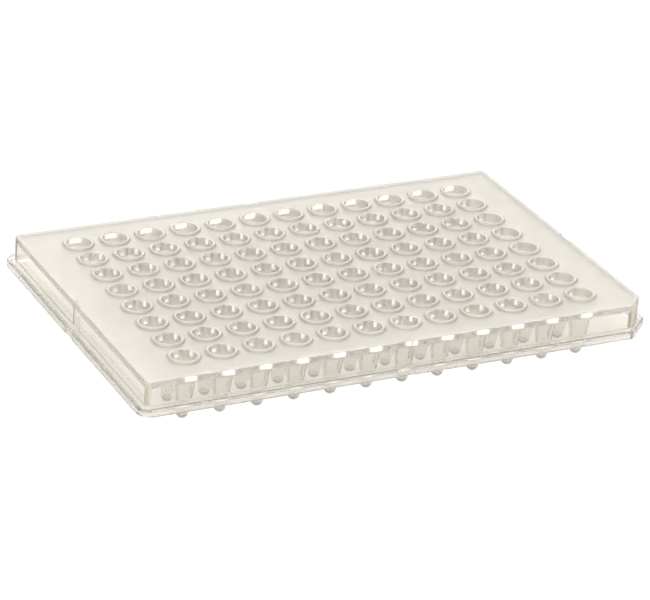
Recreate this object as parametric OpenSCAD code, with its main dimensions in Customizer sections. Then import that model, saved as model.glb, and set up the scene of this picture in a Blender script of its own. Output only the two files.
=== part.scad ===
// Low-profile well plate with a half skirt, moulded in one piece.
// The origin is the middle of the base, level with the well tips.
// +X runs along a row of wells, +Y across the rows, and +Z up to the rims.

/* [Well grid] */
// Number of wells along X
columns = 12; // [4:1:12]
// Number of wells along Y
rows = 8; // [4:1:8]
// Distance between neighbouring well axes
pitch = 9; // [8.8:0.05:10]
// Height from the well tips to the rims
plate_h = 15.25; // [15:0.25:20.5]

/* [Wells] */
// Outer diameter of the raised rim round a well
rim_d = 7.3; // [7.1:0.05:7.8]
// How far the rims stand above the deck
rim_h = 0.5; // [0.3:0.05:0.8]
// Rounding of a rim's outer edge
rim_round = 0.2; // [0.1:0.05:0.25]
// Diameter of the round seat for a cap inside a well's mouth
mouth_d = 5.6; // [5.3:0.05:5.8]
// Included angle of a well's tapered tube
taper_angle = 16.2; // [15:0.1:17]
// Outer radius of a well's round tip
tip_r = 1.4; // [1.2:0.05:1.5]
// Thickness of a well's tapered wall and floor
tube_wall = 0.38; // [0.3:0.02:0.5]

/* [Deck] */
// Thickness of the deck that carries the wells
deck_t = 1.55; // [1.2:0.05:1.9]
// From the axis of the first and last columns to the end wall's outer face
end_margin = 12.6; // [11.5:0.1:14]
// From the axis of the first and last rows to the side wall's outer face
side_margin = 9.35; // [8.5:0.05:11]
// Width of the raised border round the deck
border_w = 1.1; // [0.8:0.05:1.5]
// Height of the raised border above the deck
border_h = 0.25; // [0.15:0.05:0.3]

/* [Skirt] */
// Thickness of the upright wall
wall_t = 1.05; // [0.8:0.05:1.4]
// Depth of the ledge below the rims
ledge_depth = 6; // [5:0.1:7]
// Width of the ledge outside the wall
ledge_w = 1.85; // [1.5:0.05:2.2]
// Thickness of the ledge
ledge_t = 1; // [0.8:0.05:1.2]
// Depth of the lip's lower edge below the rims
lip_depth = 7.95; // [7.6:0.05:8.6]
// Thickness of the lip that hangs from the ledge
lip_t = 1; // [0.8:0.05:1.2]
// Radius of the wall's upright corners
corner_r = 1.3; // [1.2:0.1:2]
// Radius of the lip's corners
lip_corner_r = 3; // [2.5:0.1:4]
// Rounding of the border's and the ledge's outer edges
edge_round = 0.35; // [0.2:0.05:0.45]

/* [Cut corner] */
// Leg of the cut that marks one corner of the wall
wall_cut = 3.9; // [3:0.1:5]
// Leg of the same cut on the lip
lip_cut = 6; // [5.5:0.1:7]
// Radius of the cut's two upright edges
cut_r = 0.8; // [0.5:0.1:1]

/* [Side reliefs] */
// Width of the shallow relief near the middle of each side
relief_w = 4; // [2:0.5:6]
// Depth of a relief
relief_d = 0.3; // [0.1:0.05:0.4]
// Shift of the front, right, rear and left reliefs from the middle of their sides
relief_shift = [-0.2, -2, -1, 0.5]; // [-5:0.1:5]

/* [Hidden] */
$fn = 64;

// Overlap that keeps a cut's own faces off the faces that it cuts
over = 1;
// Overlap of neighbouring lengths of a carried section
seam = 0.01;
// Least radius of an inner corner
inner_r = 0.2;
// Chords that stand for a rounded edge of the skirt, for a rim's, for a well's tip and for its floor
edge_steps = 3;
rim_steps = 1;
tip_steps = 2;
floor_steps = 1;

upper_l = (columns - 1) * pitch + 2 * end_margin;
upper_w = (rows - 1) * pitch + 2 * side_margin;
lip_l = upper_l + 2 * ledge_w;
lip_w = upper_w + 2 * ledge_w;

deck_z = plate_h - rim_h;
border_z = deck_z + border_h;
deck_under = deck_z - deck_t;
ledge_z = plate_h - ledge_depth;
lip_z = plate_h - lip_depth;

half_taper = taper_angle / 2;
mouth_r = mouth_d / 2;

function unit(v) = v / norm(v);
function left_of(v) = [-v[1], v[0]];

// The plan outline, anticlockwise from the rear right corner, as [x, y, corner radius].
// Its front right corner is cut off.
function outline(l, w, r, leg) = [
    [l / 2, w / 2, r],
    [-l / 2, w / 2, r],
    [-l / 2, -w / 2, r],
    [l / 2 - leg, -w / 2, cut_r],
    [l / 2, -w / 2 + leg, cut_r]
];

// A corner of an outline, as [start of its arc, end of its arc, centre, turn in degrees, first direction].
function corner(path, i) =
    let (
        n = len(path),
        here = [path[i][0], path[i][1]],
        before = path[(i + n - 1) % n],
        after = path[(i + 1) % n],
        u = unit(here - [before[0], before[1]]),
        v = unit([after[0], after[1]] - here),
        turn = acos(u * v),
        reach = path[i][2] * tan(turn / 2),
        start = here - reach * u
    )
    [start, here + reach * v, start + path[i][2] * left_of(u), turn, atan2(u[1], u[0])];

module plan(path) {
    ends = [for (i = [0 : len(path) - 1]) let (c = corner(path, i)) each [c[0], c[1]]];
    polygon(ends);
    for (i = [0 : len(path) - 1])
        translate(corner(path, i)[2]) circle(path[i][2]);
}

// Carries a section round an outline: the section's x runs outwards from the outline, and its y up.
module carry_round(path) {
    n = len(path);
    for (i = [0 : n - 1]) {
        c = corner(path, i);
        next = corner(path, (i + 1) % n);
        run = next[0] - c[1];
        translate(next[0] + seam * unit(run))
            rotate([90, 0, atan2(run[1], run[0]) - 90])
                linear_extrude(norm(run) + 2 * seam) children();
        translate(c[2])
            rotate(c[4] - 90)
                rotate_extrude(angle = c[3]) translate([path[i][2], 0]) children();
    }
}

// What a rounded outer edge takes away, with the sharp edge at the origin.
module edge_section(r) {
    polygon(concat(
        [for (i = [0 : edge_steps]) let (a = i * 90 / edge_steps) [r * cos(a) - r, r * sin(a) - r]],
        [[-r, over], [over, over], [over, -r]]
    ));
}

module skirt_shell() {
    wall = outline(upper_l, upper_w, corner_r, wall_cut);
    lip = outline(lip_l, lip_w, lip_corner_r, lip_cut);
    difference() {
        union() {
            translate([0, 0, ledge_z - ledge_t]) linear_extrude(border_z - ledge_z + ledge_t) plan(wall);
            translate([0, 0, lip_z]) linear_extrude(ledge_z - lip_z) plan(lip);
        }
        translate([0, 0, border_z]) carry_round(wall) edge_section(edge_round);
        translate([0, 0, ledge_z]) carry_round(lip) edge_section(edge_round);
    }
}

// An outline moved inwards by t, with the walls of the cut kept at the same thickness.
function inset(l, w, r, leg, t) =
    outline(l - 2 * t, w - 2 * t, max(r - t, inner_r), leg - t * (2 - sqrt(2)));

module hollow_under_deck() {
    translate([0, 0, lip_z - over])
        linear_extrude(deck_under - lip_z + over)
            plan(inset(upper_l, upper_w, corner_r, wall_cut, wall_t));
    translate([0, 0, lip_z - over])
        linear_extrude(ledge_z - ledge_t - lip_z + over)
            plan(inset(lip_l, lip_w, lip_corner_r, lip_cut, lip_t));
}

module deck_recess() {
    translate([0, 0, deck_z])
        linear_extrude(border_h + over)
            plan(inset(upper_l, upper_w, corner_r, wall_cut, border_w));
}

// An arc of radius r about c, as points from angle a to angle b.
function bend(c, r, a, b, steps) =
    [for (i = [0 : steps]) let (t = a + i * (b - a) / steps) c + r * [cos(t), sin(t)]];

// Where the tapered tube, carried on upwards, has the radius r.
function taper_z(r, round_r) =
    tip_r - round_r * sin(half_taper) + (r - round_r * cos(half_taper)) / tan(half_taper);

// The outside of one well, from its tip to its rim.
module well_tube() {
    deck_in = deck_z - deck_t / 2;
    rim_r = rim_d / 2;
    tube_r = tip_r * cos(half_taper) + (deck_in - taper_z(tip_r * cos(half_taper), tip_r)) * tan(half_taper);
    rotate_extrude()
        polygon(concat(
            bend([0, tip_r], tip_r, -90, -half_taper, tip_steps),
            [[tube_r, deck_in], [rim_r, deck_in]],
            bend([rim_r - rim_round, plate_h - rim_round], rim_round, 0, 90, rim_steps),
            [[0, plate_h]]
        ));
}

// The space inside one well, open at the rim.
module well_bore() {
    floor_r = tip_r - tube_wall;
    rotate_extrude()
        polygon(concat(
            bend([0, tip_r], floor_r, -90, -half_taper, floor_steps),
            [[mouth_r, taper_z(mouth_r, floor_r)], [mouth_r, plate_h + over], [0, plate_h + over]]
        ));
}

module at_wells() {
    for (column = [0 : columns - 1], row = [0 : rows - 1])
        translate([(column - (columns - 1) / 2) * pitch, (row - (rows - 1) / 2) * pitch, 0])
            children();
}

// A shallow upright relief near the middle of each side, through the border, wall and lip.
module side_reliefs() {
    for (side = [0 : 3]) {
        reach = side % 2 == 0 ? upper_w / 2 : upper_l / 2;
        rotate(side * 90)
            translate([relief_shift[side] * (side < 2 ? 1 : -1), -reach, 0]) {
                translate([-relief_w / 2, -over, ledge_z]) cube([relief_w, over + relief_d, plate_h]);
                translate([-relief_w / 2, -over, deck_z]) cube([relief_w, over + border_w + over, plate_h]);
                translate([-relief_w / 2, -ledge_w - over, 0]) cube([relief_w, over + relief_d, plate_h]);
            }
    }
}

module well_plate() {
    color([0.90, 0.88, 0.83])
        difference() {
            union() {
                difference() {
                    skirt_shell();
                    hollow_under_deck();
                    deck_recess();
                    side_reliefs();
                }
                at_wells() well_tube();
            }
            at_wells() well_bore();
        }
}

well_plate();
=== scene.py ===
"""Looks of the well plate: one clear moulding on a pale floor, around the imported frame."""

import itertools
import math

import bmesh
import bpy
from mathutils import Matrix, Vector
from mathutils.geometry import delaunay_2d_cdt


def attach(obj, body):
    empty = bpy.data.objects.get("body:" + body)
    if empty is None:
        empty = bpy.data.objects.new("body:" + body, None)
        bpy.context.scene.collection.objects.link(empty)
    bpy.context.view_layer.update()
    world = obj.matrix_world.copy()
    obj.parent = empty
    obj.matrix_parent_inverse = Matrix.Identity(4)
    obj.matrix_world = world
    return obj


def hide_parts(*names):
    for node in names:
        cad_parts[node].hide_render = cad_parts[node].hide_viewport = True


MM = 0.001

# --- Sizes of the moulding in millimetres, as the CAD has them ---------------------------------
COLUMNS, ROWS, PITCH = 12, 8, 9.0
PLATE_H = 15.25
RIM_R, RIM_H, RIM_ROUND = 3.65, 0.5, 0.2
MOUTH_R, TIP_R, TUBE_WALL = 2.8, 1.4, 0.38
HALF_TAPER = math.radians(8.1)
DECK_T, BORDER_W, BORDER_H = 1.55, 1.1, 0.25
END_MARGIN, SIDE_MARGIN = 12.6, 9.35
WALL_T = 1.05
LEDGE_DEPTH, LEDGE_W, LEDGE_T = 6.0, 1.85, 1.0
LIP_DEPTH, LIP_T = 7.95, 1.0
CORNER_R, LIP_CORNER_R, EDGE_ROUND = 1.3, 3.0, 0.35
WALL_CUT, LIP_CUT, CUT_R = 3.9, 6.0, 0.8
RELIEF_W, RELIEF_D = 4.0, 0.3
INNER_R = 0.2  # least radius of an inner corner

COLUMN_X = [(column - (COLUMNS - 1) / 2) * PITCH for column in range(COLUMNS)]
ROW_Y = [(row - (ROWS - 1) / 2) * PITCH for row in range(ROWS)]
GRID_HALF_L, GRID_HALF_W = COLUMNS * PITCH / 2, ROWS * PITCH / 2
UPPER_L = (COLUMNS - 1) * PITCH + 2 * END_MARGIN
UPPER_W = (ROWS - 1) * PITCH + 2 * SIDE_MARGIN
LIP_L, LIP_W = UPPER_L + 2 * LEDGE_W, UPPER_W + 2 * LEDGE_W
DECK_Z = PLATE_H - RIM_H
BORDER_Z = DECK_Z + BORDER_H
UNDER_Z = DECK_Z - DECK_T
LEDGE_Z = PLATE_H - LEDGE_DEPTH
LEDGE_UNDER_Z = LEDGE_Z - LEDGE_T
LIP_Z = PLATE_H - LIP_DEPTH

# The relief on the side that follows a corner of the outline: along the side, its shift from the
# plate's middle, and inwards. The sides are the rear, left, front and right. The cut has no relief.
RELIEFS = {
    0: (Vector((1, 0)), -1.0, Vector((0, -1))),
    1: (Vector((0, 1)), 0.5, Vector((1, 0))),
    2: (Vector((1, 0)), -0.2, Vector((0, 1))),
    4: (Vector((0, 1)), -2.0, Vector((-1, 0))),
}

# --- What the scene adds to the CAD, in millimetres: small radii and a change of finish ---------
FOOT_FILLET = 0.2  # where a rim meets the deck
MOUTH_ROUND = 0.3  # rounding of a rim's inner edge
TUBE_FILLET = 0.3  # where a tube or the wall meets the deck's underside
ROOT_FILLET = 0.2  # where the wall meets the ledge
SOFT_EDGE = 0.12  # edges that the CAD leaves sharp
MILKY_DEPTH = 2.9  # how far down a bore its surface is milky

# --- How finely the mesh follows the form -------------------------------------------------------
WELL_SEGMENTS = 40  # a multiple of 8, so that a well's square cell keeps its corners
WELL_TURN = 2 * math.pi / WELL_SEGMENTS
CORNER_STEPS, CUT_STEPS = 8, 4
FILLET_STEPS, RIM_STEPS, TIP_STEPS, EDGE_STEPS, ROOT_STEPS = 2, 3, 4, 4, 3
SAME_PLACE = 1e-6  # points of a margin are one within this many millimetres
WELD = 1e-6  # vertices of the mesh are one within this many metres
SHORTEST_EDGE = WELD / 10
SHARP_DEG = 38  # faces that meet at more than this keep a sharp edge
LARGE_FACES = 100  # the weight with which large faces decide the normals
INSIDE_CONSTRAINTS = 1  # the output of delaunay_2d_cdt that keeps triangles inside loops


# --- Profiles -----------------------------------------------------------------------------------
def bend(centre, radius, start, end, steps):
    """Points on an arc about centre, from angle start to angle end in degrees."""
    angles = (math.radians(start + (end - start) * i / steps) for i in range(steps + 1))
    return [(centre[0] + radius * math.cos(a), centre[1] + radius * math.sin(a)) for a in angles]


def taper_z(r, round_r):
    """The height at which a tapered tube has the radius r, if its round end has the radius round_r."""
    round_z = TIP_R - round_r * math.sin(HALF_TAPER)
    return round_z + (r - round_r * math.cos(HALF_TAPER)) / math.tan(HALF_TAPER)


def taper_r(z, round_r):
    """The radius of the same tube at the height z."""
    rise = z - TIP_R + round_r * math.sin(HALF_TAPER)
    return round_r * math.cos(HALF_TAPER) + rise * math.tan(HALF_TAPER)


def well_top_profile():
    """From the deck over the rim and down the bore to the well's floor, as (radius, height)."""
    half = math.degrees(HALF_TAPER)
    floor_r = TIP_R - TUBE_WALL
    milky_z = PLATE_H - MILKY_DEPTH
    return (
        bend((RIM_R + FOOT_FILLET, DECK_Z + FOOT_FILLET), FOOT_FILLET, 270, 180, FILLET_STEPS)
        + bend((RIM_R - RIM_ROUND, PLATE_H - RIM_ROUND), RIM_ROUND, 0, 90, RIM_STEPS)
        + bend((MOUTH_R + MOUTH_ROUND, PLATE_H - MOUTH_ROUND), MOUTH_ROUND, 90, 180, RIM_STEPS)
        + [(MOUTH_R, taper_z(MOUTH_R, floor_r)), (taper_r(milky_z, floor_r), milky_z)]
        + bend((0, TIP_R), floor_r, -half, -90, TIP_STEPS)
    )


def well_under_profile():
    """From the deck's underside down the tube to the well's tip, as (radius, height)."""
    half = math.degrees(HALF_TAPER)
    centre = (taper_r(UNDER_Z, TIP_R) + TUBE_FILLET, UNDER_Z - TUBE_FILLET)
    return (
        bend(centre, TUBE_FILLET, 90, 180 - half, FILLET_STEPS)
        + bend((0, TIP_R), TIP_R, -half, -90, TIP_STEPS)
    )


# --- Outlines -----------------------------------------------------------------------------------
def relief_points(side, corner, ahead, depth):
    """The relief on the side that leaves a corner in the direction ahead, as [(x, y, in_relief)]."""
    along, shift, inward = RELIEFS[side]
    going = 1 if ahead.dot(along) > 0 else -1
    middle = corner - along * corner.dot(along) + along * shift
    start = middle - along * going * RELIEF_W / 2
    end = middle + along * going * RELIEF_W / 2
    floor_start, floor_end = start + inward * depth, end + inward * depth
    return [(*start, False), (*floor_start, True), (*floor_end, True), (*end, False)]


def outline(inset_by, lip, relief):
    """A closed loop round the plate, anticlockwise, always with the same number of points.

    Returns [(x, y, in_relief)]. The loop runs inset_by inside the outer face of the wall or the
    lip, and relief is how deep the mid-side reliefs are cut into that face.
    """
    length, width, radius, leg = UPPER_L, UPPER_W, CORNER_R, WALL_CUT
    if lip:
        length, width, radius, leg = LIP_L, LIP_W, LIP_CORNER_R, LIP_CUT
    half_l, half_w = length / 2 - inset_by, width / 2 - inset_by
    radius = max(radius - inset_by, INNER_R)
    leg -= inset_by * (2 - math.sqrt(2))
    corners = [
        (half_l, half_w, radius, CORNER_STEPS),
        (-half_l, half_w, radius, CORNER_STEPS),
        (-half_l, -half_w, radius, CORNER_STEPS),
        (half_l - leg, -half_w, CUT_R, CUT_STEPS),
        (half_l, -half_w + leg, CUT_R, CUT_STEPS),
    ]
    points = []
    for i, (x, y, r, steps) in enumerate(corners):
        here = Vector((x, y))
        before = Vector(corners[i - 1][:2])
        following = Vector(corners[(i + 1) % len(corners)][:2])
        u, v = (here - before).normalized(), (following - here).normalized()
        turn = math.acos(max(-1, min(1, u.dot(v))))
        start = here - u * r * math.tan(turn / 2)
        centre = start + Vector((-u.y, u.x)) * r
        begin = math.degrees(math.atan2(-u.x, u.y))
        arc = bend(centre, r, begin, begin + math.degrees(turn), steps)
        points.extend((arc_x, arc_y, False) for arc_x, arc_y in arc)
        if i in RELIEFS:
            points.extend(relief_points(i, here, v, max(0.0, relief - inset_by)))
    return points


def skirt_loops():
    """The skirt's surface as loops of (x, y, z), from the deck's edge round to its underside."""
    loops = []

    def add(inset_by, z, lip=False, relief=0.0, relief_top=math.inf):
        """Adds a loop, which dips to relief_top where it crosses a relief."""
        dip = min(z, relief_top)
        points = outline(inset_by, lip, relief)
        loops.append([(x, y, dip if in_relief else z) for x, y, in_relief in points])

    def add_bend(centre, radius, start, end, steps, **where):
        for inset_by, z in bend(centre, radius, start, end, steps):
            add(inset_by, z, **where)

    soft, cut_in = SOFT_EDGE, {"relief": RELIEF_D}
    add(BORDER_W + soft, DECK_Z)
    add(BORDER_W, DECK_Z + soft / 2, relief_top=DECK_Z)
    add(BORDER_W - soft / 2, BORDER_Z, relief_top=DECK_Z)
    border_edge = (EDGE_ROUND, BORDER_Z - EDGE_ROUND)
    add_bend(border_edge, EDGE_ROUND, 90, 180, EDGE_STEPS, relief_top=DECK_Z, **cut_in)
    add(0, UNDER_Z, **cut_in)
    add_bend((-ROOT_FILLET, LEDGE_Z + ROOT_FILLET), ROOT_FILLET, 0, -90, ROOT_STEPS, **cut_in)
    ledge_edge = (EDGE_ROUND, LEDGE_Z - EDGE_ROUND)
    add_bend(ledge_edge, EDGE_ROUND, 90, 180, EDGE_STEPS, lip=True, **cut_in)
    add_bend((soft, LIP_Z + soft), soft, 180, 270, FILLET_STEPS, lip=True, **cut_in)
    add_bend((LIP_T - soft, LIP_Z + soft), soft, 270, 360, FILLET_STEPS, lip=True)
    add_bend((LIP_T + soft, LEDGE_UNDER_Z - soft), soft, 180, 90, FILLET_STEPS, lip=True)
    add_bend((WALL_T - soft, LEDGE_UNDER_Z + soft), soft, 270, 360, FILLET_STEPS)
    add_bend((WALL_T + TUBE_FILLET, UNDER_Z - TUBE_FILLET), TUBE_FILLET, 180, 90, ROOT_STEPS)
    return loops


# --- Mesh ---------------------------------------------------------------------------------------
def neighbours(loop):
    """Pairs each item of a loop with the next one, and the last with the first."""
    return list(zip(loop, loop[1:] + loop[:1]))


def in_grid(x, y):
    """Whether a place is in the square cell of a well."""
    return abs(x) < GRID_HALF_L and abs(y) < GRID_HALF_W


class Surface:
    """Gathers vertices and faces in millimetres. A face is a tuple of the numbers of its vertices."""

    def __init__(self):
        self.points, self.faces = [], []

    def loop(self, points):
        """Adds vertices and returns their numbers."""
        start = len(self.points)
        self.points.extend(points)
        return list(range(start, len(self.points)))

    def band(self, a, b, flip=False):
        """Quads between two loops. Seen from outside, b is left of a, or right of it with flip."""
        if flip:
            a, b = b, a
        for (a_here, a_next), (b_here, b_next) in zip(neighbours(a), neighbours(b)):
            self.faces.append((a_here, a_next, b_next, b_here))

    def revolve(self, profile, at, flip):
        """Turns a profile that ends on the axis about a well's axis. Returns its first ring."""
        rings = []
        for r, z in profile[:-1]:
            angles = (k * WELL_TURN for k in range(WELL_SEGMENTS))
            ring = [(at[0] + r * math.cos(a), at[1] + r * math.sin(a), z) for a in angles]
            rings.append(self.loop(ring))
        for a, b in zip(rings, rings[1:]):
            self.band(a, b, flip)
        tip = self.loop([(*at, profile[-1][1])])[0]
        for here, following in neighbours(rings[-1]):
            self.faces.append((following, here, tip) if flip else (here, following, tip))
        return rings[0]

    def cell(self, ring, at, z, flip):
        """The flat square of one pitch between a well's first ring and its neighbours' cells."""
        square = []
        for k in range(WELL_SEGMENTS):
            c, s = math.cos(k * WELL_TURN), math.sin(k * WELL_TURN)
            out = PITCH / 2 / max(abs(c), abs(s))
            square.append((at[0] + out * c, at[1] + out * s, z))
        self.band(self.loop(square), ring, flip)

    def margin(self, edge, z, flip):
        """The flat ring between the grid of cells and a loop round it."""
        eighth = WELL_SEGMENTS // 8
        steps = [PITCH / 2 * math.tan(k * WELL_TURN) for k in range(-eighth, eighth)]
        xs = [x + step for x in COLUMN_X for step in steps]
        ys = [y + step for y in ROW_Y for step in steps]
        grid = (
            [(x, -GRID_HALF_W, z) for x in xs]
            + [(GRID_HALF_L, y, z) for y in ys]
            + [(-x, GRID_HALF_W, z) for x in xs]
            + [(-GRID_HALF_L, -y, z) for y in ys]
        )
        order = edge + self.loop(grid)
        flat = [Vector(self.points[i][:2]) for i in order]
        numbers = list(range(len(order)))
        edges = neighbours(numbers[:len(edge)]) + neighbours(numbers[len(edge):])
        result = delaunay_2d_cdt(flat, edges, [], INSIDE_CONSTRAINTS, SAME_PLACE)
        places, triangles, sources = result[0], result[2], result[3]
        for triangle in triangles:
            middle = sum((places[i] for i in triangle), Vector((0, 0))) / 3
            if in_grid(*middle):
                continue
            face = [order[sources[i][0]] for i in triangle]
            a, b, c = (Vector(self.points[i]) for i in face)
            if ((b - a).cross(c - a).z < 0) != flip:
                face.reverse()
            self.faces.append(tuple(face))


def plate_mesh():
    """The whole moulding as one closed mesh."""
    surface = Surface()
    loops = [surface.loop(points) for points in skirt_loops()]
    for a, b in zip(loops, loops[1:]):
        surface.band(b, a)
    surface.margin(loops[0], DECK_Z, flip=False)
    surface.margin(loops[-1], UNDER_Z, flip=True)
    top, under = well_top_profile(), well_under_profile()
    for at in itertools.product(COLUMN_X, ROW_Y):
        surface.cell(surface.revolve(top, at, flip=False), at, DECK_Z, flip=False)
        surface.cell(surface.revolve(under, at, flip=True), at, UNDER_Z, flip=True)
    mesh = bpy.data.meshes.new("well_plate_clear")
    mesh.from_pydata([(x * MM, y * MM, z * MM) for x, y, z in surface.points], [], surface.faces)
    work = bmesh.new()
    work.from_mesh(mesh)
    bmesh.ops.remove_doubles(work, verts=work.verts, dist=WELD)
    bmesh.ops.dissolve_degenerate(work, edges=work.edges, dist=SHORTEST_EDGE)
    work.to_mesh(mesh)
    work.free()
    mesh.shade_smooth()
    mesh.set_sharp_from_angle(angle=math.radians(SHARP_DEG))
    return mesh


# --- Material -----------------------------------------------------------------------------------
GLOSS, SATIN, BORE, SATIN_WELLS, TUBE, HAZY, WALL, TIP, BORDER, LEDGE, SLAB_EDGE, CREST = range(12)
CLEAR, MILKY = (0.995, 0.992, 0.982), (0.955, 0.935, 0.90)
POLISHED, FROSTED = (0.015, 0.03), (0.5, 0.65)  # the least and the most roughness of a surface
FINE_GRAIN = (1500, 2e-6)  # a surface's waves to the metre, and their depth in metres
WAVY = (160, 4e-5)  # the same for a wall's faint waviness
IOR = 1.49  # polypropylene's
SHEEN_WAVES, CLOUD_WAVES = 220, 70  # to the metre
SHEEN_DETAIL, DETAIL = 3, 2
SHEEN_SPAN, CLOUD_SPAN = (0.3, 0.7), (0.35, 0.65)  # the part of a noise's range that is used
SPARE_CELLS = 10  # added before the wells are counted, so that every place has a positive count

# Painted shade round each rim's foot: shades by the distance from a well's axis in millimetres, and
# where their ramp ends.
PAINTED_FOOT_SHADES = (
    (RIM_R - 0.1, 0.86),
    (RIM_R, 0.92),
    (RIM_R + 0.06, 0.74),
    (3.88, 0.8),
    (4.1, 0.95),
    (4.5, 1),
)
PAINTED_SHADE_REACH = 6.0
MIX_A, MIX_B, MIX_RESULT = 6, 7, 2  # the colour sockets of a Mix node, whose names aren't unique


def noise(tree, waves, detail=DETAIL):
    """A noise over the object, with so many waves to the metre."""
    place = tree.nodes.new("ShaderNodeTexCoord")
    texture = tree.nodes.new("ShaderNodeTexNoise")
    texture.inputs["Scale"].default_value = waves
    texture.inputs["Detail"].default_value = detail
    tree.links.new(place.outputs["Object"], texture.inputs["Vector"])
    return texture.outputs["Fac"]


def map_range(tree, before, after):
    """A node that carries the numbers of one span over to another."""
    node = tree.nodes.new("ShaderNodeMapRange")
    node.inputs["From Min"].default_value, node.inputs["From Max"].default_value = before
    node.inputs["To Min"].default_value, node.inputs["To Max"].default_value = after
    return node


def colour_ramp(tree, value, stops):
    """A colour that follows a value through stops of (position, colour)."""
    ramp = tree.nodes.new("ShaderNodeValToRGB")
    elements = ramp.color_ramp.elements
    for _ in stops[len(elements):]:
        elements.new(1)
    for element, (position, colour) in zip(elements, stops):
        element.position = position
        element.color = colour
    tree.links.new(value, ramp.inputs["Fac"])
    return ramp.outputs["Color"]


def math_node(tree, operation, *values):
    """The result of a calculation with numbers or sockets."""
    node = tree.nodes.new("ShaderNodeMath")
    node.operation = operation
    for socket, value in zip(node.inputs, values):
        if isinstance(value, (int, float)):
            socket.default_value = value
        else:
            tree.links.new(value, socket)
    return node.outputs["Value"]


def plastic(name, colour, roughness, transmission, grain=FINE_GRAIN):
    """Natural polypropylene: clear or milky, with an uneven sheen and a fine moulded grain.

    The lower the transmission, the milkier it is. roughness is its least and its most.
    """
    material = bpy.data.materials.new(name)
    material.use_nodes = True
    tree = material.node_tree
    shader = tree.nodes["Principled BSDF"]
    shader.inputs["Base Color"].default_value = (*colour, 1)
    shader.inputs["IOR"].default_value = IOR
    shader.inputs["Transmission Weight"].default_value = transmission
    sheen = map_range(tree, SHEEN_SPAN, roughness)
    tree.links.new(noise(tree, SHEEN_WAVES, SHEEN_DETAIL), sheen.inputs["Value"])
    tree.links.new(sheen.outputs["Result"], shader.inputs["Roughness"])
    waves, depth = grain
    bump = tree.nodes.new("ShaderNodeBump")
    bump.inputs["Distance"].default_value = depth
    tree.links.new(noise(tree, waves), bump.inputs["Height"])
    tree.links.new(bump.outputs["Normal"], shader.inputs["Normal"])
    return material


def cloud(material, shade):
    """Lets the colour go softly down to a shade of itself, as flow in the mould leaves it."""
    tree = material.node_tree
    colour = tree.nodes["Principled BSDF"].inputs["Base Color"]
    bright = colour.default_value[:]
    dull = (*(channel * shade for channel in bright[:3]), 1)
    stops = tuple(zip(CLOUD_SPAN, (dull, bright)))
    tree.links.new(colour_ramp(tree, noise(tree, CLOUD_WAVES), stops), colour)
    return material


def well_distance(tree):
    """A socket with the distance from the nearest well's axis, in millimetres."""
    place = tree.nodes.new("ShaderNodeTexCoord")
    split = tree.nodes.new("ShaderNodeSeparateXYZ")
    tree.links.new(place.outputs["Object"], split.inputs["Vector"])
    squares = []
    for axis, count in (("X", COLUMNS), ("Y", ROWS)):
        cells = math_node(tree, "DIVIDE", split.outputs[axis], PITCH * MM)
        cells = math_node(tree, "ADD", cells, count / 2 + SPARE_CELLS)
        off = math_node(tree, "SUBTRACT", math_node(tree, "FRACT", cells), 0.5)
        squares.append(math_node(tree, "MULTIPLY", off, off))
    away = math_node(tree, "SQRT", math_node(tree, "ADD", *squares))
    return math_node(tree, "MULTIPLY", away, PITCH)


def paint_shade_round_rim_feet(material):
    """Paints shade softly round each rim: on its sides and, darkest, on the milky deck at its foot."""
    tree = material.node_tree
    colour = tree.nodes["Principled BSDF"].inputs["Base Color"]
    place = math_node(tree, "DIVIDE", well_distance(tree), PAINTED_SHADE_REACH)
    stops = [(radius / PAINTED_SHADE_REACH, (shade, shade, shade, 1)) for radius, shade in PAINTED_FOOT_SHADES]
    painted_shade = tree.nodes.new("ShaderNodeMix")
    painted_shade.data_type, painted_shade.blend_type = "RGBA", "MULTIPLY"
    painted_shade.inputs["Factor"].default_value = 1.0
    tree.links.new(colour.links[0].from_socket, painted_shade.inputs[MIX_A])
    tree.links.new(colour_ramp(tree, place, stops), painted_shade.inputs[MIX_B])
    tree.links.new(painted_shade.outputs[MIX_RESULT], colour)
    return material


def finishes():
    """The plate's materials, in the order of the finishes' names."""
    return (
        plastic("polypropylene_gloss", CLEAR, POLISHED, 0.95),
        cloud(plastic("polypropylene_satin", MILKY, FROSTED, 0.56), 0.975),
        cloud(plastic("polypropylene_bore", (1.0, 0.97, 0.92), (0.025, 0.045), 0.6), 0.98),
        # The well field's satin, with painted shade round the rims' feet.
        paint_shade_round_rim_feet(cloud(plastic("polypropylene_satin_wells", MILKY, FROSTED, 0.56), 0.975)),
        # Painted shade: the tubes are a greyer copy of the clear plastic.
        plastic("polypropylene_tube", (0.91, 0.90, 0.875), POLISHED, 0.95),
        plastic("polypropylene_hazy", (0.80, 0.785, 0.67), (0.3, 0.4), 0.4),
        # Painted shade: the wall is a little darker than the clear plastic.
        plastic("polypropylene_wall", (0.965, 0.96, 0.945), POLISHED, 0.95, WAVY),
        # Painted shade: the tips are a much darker copy of the clear plastic.
        plastic("polypropylene_tip", (0.60, 0.585, 0.57), (0.02, 0.04), 0.94),
        cloud(plastic("polypropylene_border", (0.92, 0.91, 0.885), (0.4, 0.55), 0.45), 0.97),
        plastic("polypropylene_ledge", (0.98, 0.97, 0.945), (0.2, 0.3), 0.85),
        # Painted shade: the deck's edge band is a darker copy of the clear plastic.
        plastic("polypropylene_slab_edge", (0.93, 0.915, 0.87), (0.02, 0.04), 0.75, WAVY),
        cloud(plastic("polypropylene_crest", (0.96, 0.935, 0.895), (0.4, 0.5), 0.42), 0.985),
    )


# --- Which finish a face has --------------------------------------------------------------------
HAIR = 0.01  # too little to count, in millimetres or in a part of a normal
CREST_DEPTH = 0.06  # the faces of a rim's crest are this near its top, in millimetres
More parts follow.
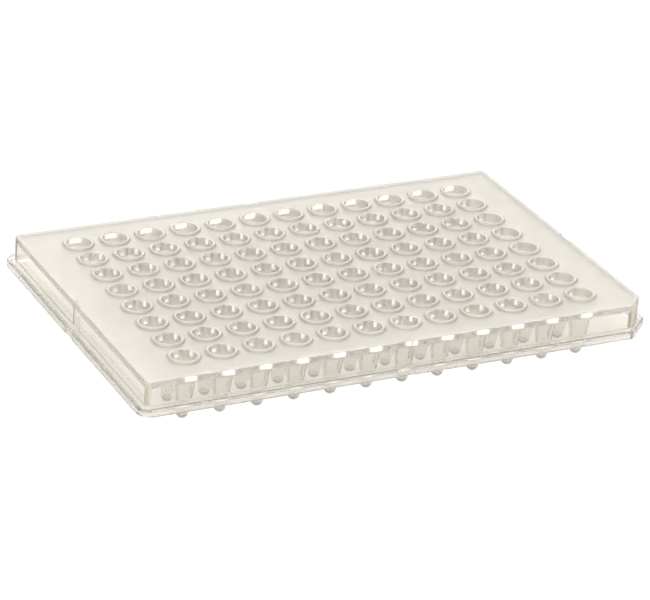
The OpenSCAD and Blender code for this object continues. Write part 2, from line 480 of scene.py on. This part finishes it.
# The least upward part of the normal on a rim's crest, in a mouth and on the ledge.
CREST_UP, MOUTH_UP, LEDGE_UP = 0.98, 0.9, 0.3
# The upward or downward part of the normal is less than this on a wall and on a corner.
UPRIGHT, STEEP = 0.3, 0.5
# The parts along x and y are both more than this on a corner and on the flat of the cut.
DIAGONAL, FULL_DIAGONAL = 0.1, 0.7
SQUARE = 0.9  # one of them is more than this at the end of a relief


def well_finish(x, y, z, normal):
    """The finish of a face in the grid of cells, at x, y, z in millimetres."""
    off_x = ((x / PITCH + COLUMNS / 2) % 1 - 0.5) * PITCH
    off_y = ((y / PITCH + ROWS / 2) % 1 - 0.5) * PITCH
    inwards = normal.x * off_x + normal.y * off_y < 0
    if z > PLATE_H - CREST_DEPTH and normal.z > CREST_UP:
        return CREST
    if math.hypot(off_x, off_y) < MOUTH_R + MOUTH_ROUND / 2 and (inwards or normal.z > MOUTH_UP):
        return BORE if z > PLATE_H - MILKY_DEPTH else GLOSS
    if z > DECK_Z - HAIR and normal.z > -HAIR:
        return SATIN_WELLS
    if z < UNDER_Z - TUBE_FILLET:
        return TUBE if z > 2 * TIP_R else TIP
    return GLOSS


def skirt_finish(x, y, z, normal):
    """The finish of a face round the grid of cells, at x, y, z in millimetres."""
    nx, ny, nz = normal
    on_corner = abs(nx) > DIAGONAL and abs(ny) > DIAGONAL and abs(nz) < STEEP
    on_cut = nx > FULL_DIAGONAL and ny < -FULL_DIAGONAL
    end_of_relief_along_x = abs(nx) > SQUARE and abs(x) < UPPER_L / 4
    end_of_relief_along_y = abs(ny) > SQUARE and abs(y) < UPPER_W / 4
    if z > DECK_Z - HAIR and nz > -HAIR:
        return BORDER if z > DECK_Z + HAIR else SATIN
    if LEDGE_Z + HAIR < z < LEDGE_Z + ROOT_FILLET:
        return HAZY
    if nz > LEDGE_UP and abs(z - LEDGE_Z) < EDGE_ROUND:
        return LEDGE
    if on_corner:
        return LEDGE if on_cut or z < LEDGE_Z else HAZY
    if end_of_relief_along_x or end_of_relief_along_y:
        return BORDER
    if abs(nz) >= UPRIGHT:
        return GLOSS
    if z > UNDER_Z:
        return SLAB_EDGE
    return WALL if z > LEDGE_Z else LEDGE


def finish_of(face):
    """Which of the plate's finishes a face has."""
    x, y, z = face.center / MM
    if in_grid(x, y):
        return well_finish(x, y, z, face.normal)
    return skirt_finish(x, y, z, face.normal)


# --- Stage --------------------------------------------------------------------------------------
TENT = (0.62, 0.605, 0.57)  # what the plate sees above and around it
PAPER, PAPER_ROUGHNESS = (0.3, 0.29, 0.27), 0.9  # the sheet that the plate stands on
PAPER_GLOW = (0.695, 0.665, 0.615)  # the colour of the light that it gives
PAPER_STRENGTH = (1.0, 0.7)  # of that light, in a pool round the plate and beyond the pool
POOL = (0.09, 0.22)  # the pool fades out between these distances in metres
WHITE_STRENGTH = 1.05  # of the white that the camera sees
FLOOR_HALF = 4.0  # in metres
WARM = (1, 0.98, 0.945)  # the softboxes' colour
# Each light's name, its place, what it is aimed at, its size in metres and its power in watts.
LIGHTS = (
    ("rear_panel", (0.55, 1.5, 0.75), (0, 0, 0.05), 1.3, 7),
    ("top_softbox", (-0.45, 0.1, 1.25), (0, 0, 0), 0.9, 5.5),
    ("front_softbox", (-0.35, -1.3, 0.85), (0, 0, 0), 1.0, 10.5),
)
# The camera, in metres and degrees, but its lens and sensor in millimetres.
CAMERA_AIM = (-8.14 * MM, -15.88 * MM, PLATE_H * MM)
CAMERA_DISTANCE = 0.7624
CAMERA_AZIMUTH, CAMERA_ELEVATION, CAMERA_ROLL = -26.55, 25.08, 3.30
CAMERA_LENS, CAMERA_SENSOR = 186.0, 36
CAMERA_NEAR, CAMERA_FAR = 0.01, 50


def turn_about(axis, degrees):
    """A rotation about the axis X or Z, as a matrix."""
    return Matrix.Rotation(math.radians(degrees), 4, axis)


def add_camera():
    data = bpy.data.cameras.new("camera")
    data.lens, data.sensor_width = CAMERA_LENS, CAMERA_SENSOR
    data.clip_start, data.clip_end = CAMERA_NEAR, CAMERA_FAR
    camera = bpy.data.objects.new("camera", data)
    bpy.context.scene.collection.objects.link(camera)
    turned = turn_about("Z", CAMERA_AZIMUTH) @ turn_about("X", 90 - CAMERA_ELEVATION)
    turned = turned @ turn_about("Z", CAMERA_ROLL)
    place = Vector(CAMERA_AIM) + turned.to_3x3() @ Vector((0, 0, CAMERA_DISTANCE))
    camera.matrix_world = Matrix.Translation(place) @ turned
    bpy.context.scene.camera = camera


def add_area_light(name, place, aim, size, power):
    data = bpy.data.lights.new(name, "AREA")
    data.shape, data.size, data.energy, data.color = "SQUARE", size, power, WARM
    light = bpy.data.objects.new(name, data)
    light.location = place
    light.rotation_mode = "QUATERNION"
    light.rotation_quaternion = (Vector(aim) - Vector(place)).to_track_quat("-Z", "Y")
    bpy.context.scene.collection.objects.link(light)


def white_to_the_camera(tree, shader, white_type):
    """Shows white to the camera, as a cut-out product picture does, and shader to every other ray."""
    output = next(node for node in tree.nodes if node.type.startswith("OUTPUT"))
    white = tree.nodes.new(white_type)
    white.inputs["Color"].default_value = (1, 1, 1, 1)
    white.inputs["Strength"].default_value = WHITE_STRENGTH
    path = tree.nodes.new("ShaderNodeLightPath")
    mix = tree.nodes.new("ShaderNodeMixShader")
    sources = (path.outputs["Is Camera Ray"], shader.outputs[0], white.outputs[0])
    for source, socket in zip(sources, mix.inputs):
        tree.links.new(source, socket)
    tree.links.new(mix.outputs["Shader"], output.inputs["Surface"])


def backdrop_material():
    """A sheet of paper with a soft bright pool of light in its middle."""
    material = bpy.data.materials.new("studio_floor_white")
    material.use_nodes = True
    tree = material.node_tree
    shader = tree.nodes["Principled BSDF"]
    shader.inputs["Base Color"].default_value = (*PAPER, 1)
    shader.inputs["Roughness"].default_value = PAPER_ROUGHNESS
    shader.inputs["Specular IOR Level"].default_value = 0.0
    shader.inputs["Emission Color"].default_value = (*PAPER_GLOW, 1)
    place = tree.nodes.new("ShaderNodeTexCoord")
    length = tree.nodes.new("ShaderNodeVectorMath")
    length.operation = "LENGTH"
    fall = map_range(tree, POOL, PAPER_STRENGTH)
    fall.interpolation_type = "SMOOTHSTEP"
    tree.links.new(place.outputs["Object"], length.inputs[0])
    tree.links.new(length.outputs["Value"], fall.inputs["Value"])
    tree.links.new(fall.outputs["Result"], shader.inputs["Emission Strength"])
    white_to_the_camera(tree, shader, "ShaderNodeEmission")
    return material


def add_floor():
    mesh = bpy.data.meshes.new("studio_floor")
    half = FLOOR_HALF
    corners = [(-half, -half, 0), (half, -half, 0), (half, half, 0), (-half, half, 0)]
    mesh.from_pydata(corners, [], [(0, 1, 2, 3)])
    mesh.materials.append(backdrop_material())
    floor = bpy.data.objects.new("studio_floor", mesh)
    bpy.context.scene.collection.objects.link(floor)


def add_world():
    world = bpy.data.worlds.new("studio")
    world.use_nodes = True
    background = world.node_tree.nodes["Background"]
    background.inputs["Color"].default_value = (*TENT, 1)
    white_to_the_camera(world.node_tree, background, "ShaderNodeBackground")
    bpy.context.scene.world = world


# --- Scene --------------------------------------------------------------------------------------
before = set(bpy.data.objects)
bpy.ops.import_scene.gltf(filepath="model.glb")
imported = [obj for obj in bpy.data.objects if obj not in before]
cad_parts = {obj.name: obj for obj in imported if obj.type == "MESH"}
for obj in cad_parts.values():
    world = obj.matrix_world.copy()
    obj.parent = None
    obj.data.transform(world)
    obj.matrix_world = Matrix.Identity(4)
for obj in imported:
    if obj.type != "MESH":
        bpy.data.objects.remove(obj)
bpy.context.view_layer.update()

plate = bpy.data.objects.new("clear_well_plate", plate_mesh())
bpy.context.scene.collection.objects.link(plate)
for finish in finishes():
    plate.data.materials.append(finish)
for face in plate.data.polygons:
    face.material_index = finish_of(face)
weighted = plate.modifiers.new("flat_faces_stay_flat", "WEIGHTED_NORMAL")
weighted.keep_sharp = True
weighted.weight = LARGE_FACES
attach(plate, "root")
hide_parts("well_plate")

add_floor()
add_world()
for light in LIGHTS:
    add_area_light(*light)
add_camera()
bpy.context.scene.view_settings.view_transform = "Standard"
